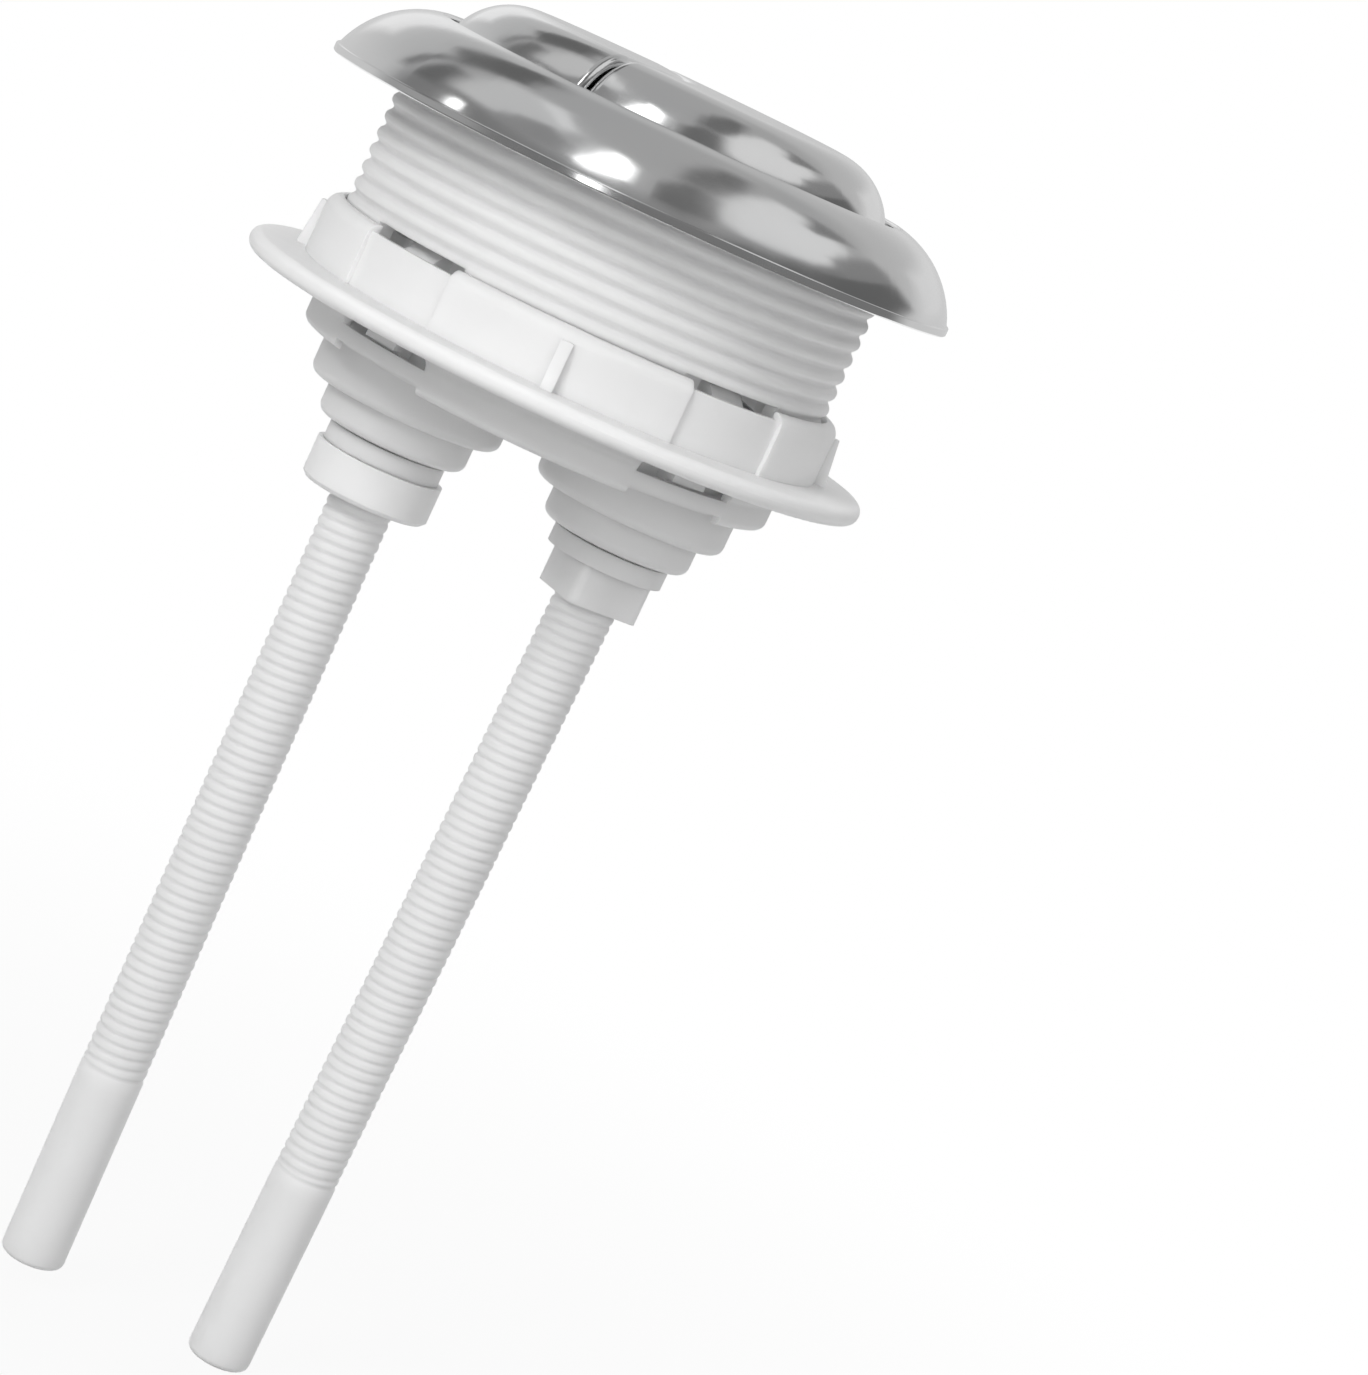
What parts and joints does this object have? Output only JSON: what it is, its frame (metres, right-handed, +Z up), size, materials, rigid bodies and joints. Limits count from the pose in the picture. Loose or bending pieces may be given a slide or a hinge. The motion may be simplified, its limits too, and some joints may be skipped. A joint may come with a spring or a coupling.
{
  "type": "push button cistern actuator",
  "caption": "Round dual flush push button for a cistern lid: chrome bezel and split buttons over a threaded barrel with a flanged lock nut and adjustable push rods.",
  "frame": {"origin": "middle of the bezel's seat on the cistern lid, on the barrel's axis", "axes": "+Z up along the barrel, out of the buttons; -X to the half flush side, +X to the full flush side; -Y to the front"},
  "size_m": [0.074, 0.074, 0.1554],
  "materials": {
    "chrome_plate": "polished",
    "body_plastic": "satin",
    "nut_plastic": "satin",
    "rod_plastic": "satin",
    "spring_steel": "drawn wire"
  },
  "bodies": {
    "housing": {"bezel_ring": "chrome_plate", "threaded_body": "body_plastic", "guide_base": "body_plastic", "half_flush_spring": "spring_steel", "full_flush_spring": "spring_steel"},
    "half_flush": {"half_flush_button": "chrome_plate", "half_flush_plunger": "body_plastic", "half_flush_washer": "body_plastic", "half_flush_nut": "nut_plastic"},
    "full_flush": {"full_flush_button": "chrome_plate", "full_flush_plunger": "body_plastic", "full_flush_washer": "body_plastic", "full_flush_nut": "nut_plastic"},
    "half_rod": {"half_flush_rod": "rod_plastic"},
    "full_rod": {"full_flush_rod": "rod_plastic"},
    "lock_nut": {"lock_nut": "nut_plastic"}
  },
  "joints": [
    {"name": "half_flush_press", "type": "slide", "parent": "housing", "child": "half_flush", "axis": [0, 0, -1], "range_m": [0, 0.009], "stiffness_N_per_m": 200, "springref_m": -0.01, "deforming": ["half_flush_spring"]},
    {"name": "full_flush_press", "type": "slide", "parent": "housing", "child": "full_flush", "axis": [0, 0, -1], "range_m": [0, 0.009], "stiffness_N_per_m": 200, "springref_m": -0.01, "deforming": ["full_flush_spring"]},
    {"name": "half_rod_adjust", "type": "slide", "parent": "half_flush", "child": "half_rod", "axis": [0.0157, 0, -0.9999], "range_m": [-0.014, 0.008]},
    {"name": "full_rod_adjust", "type": "slide", "parent": "full_flush", "child": "full_rod", "axis": [-0.0157, 0, -0.9999], "range_m": [-0.014, 0.008]},
    {"name": "lock_nut_travel", "type": "slide", "parent": "housing", "child": "lock_nut", "axis": [0, 0, 1], "range_m": [-0.0018, 0.0134]}
  ]
}
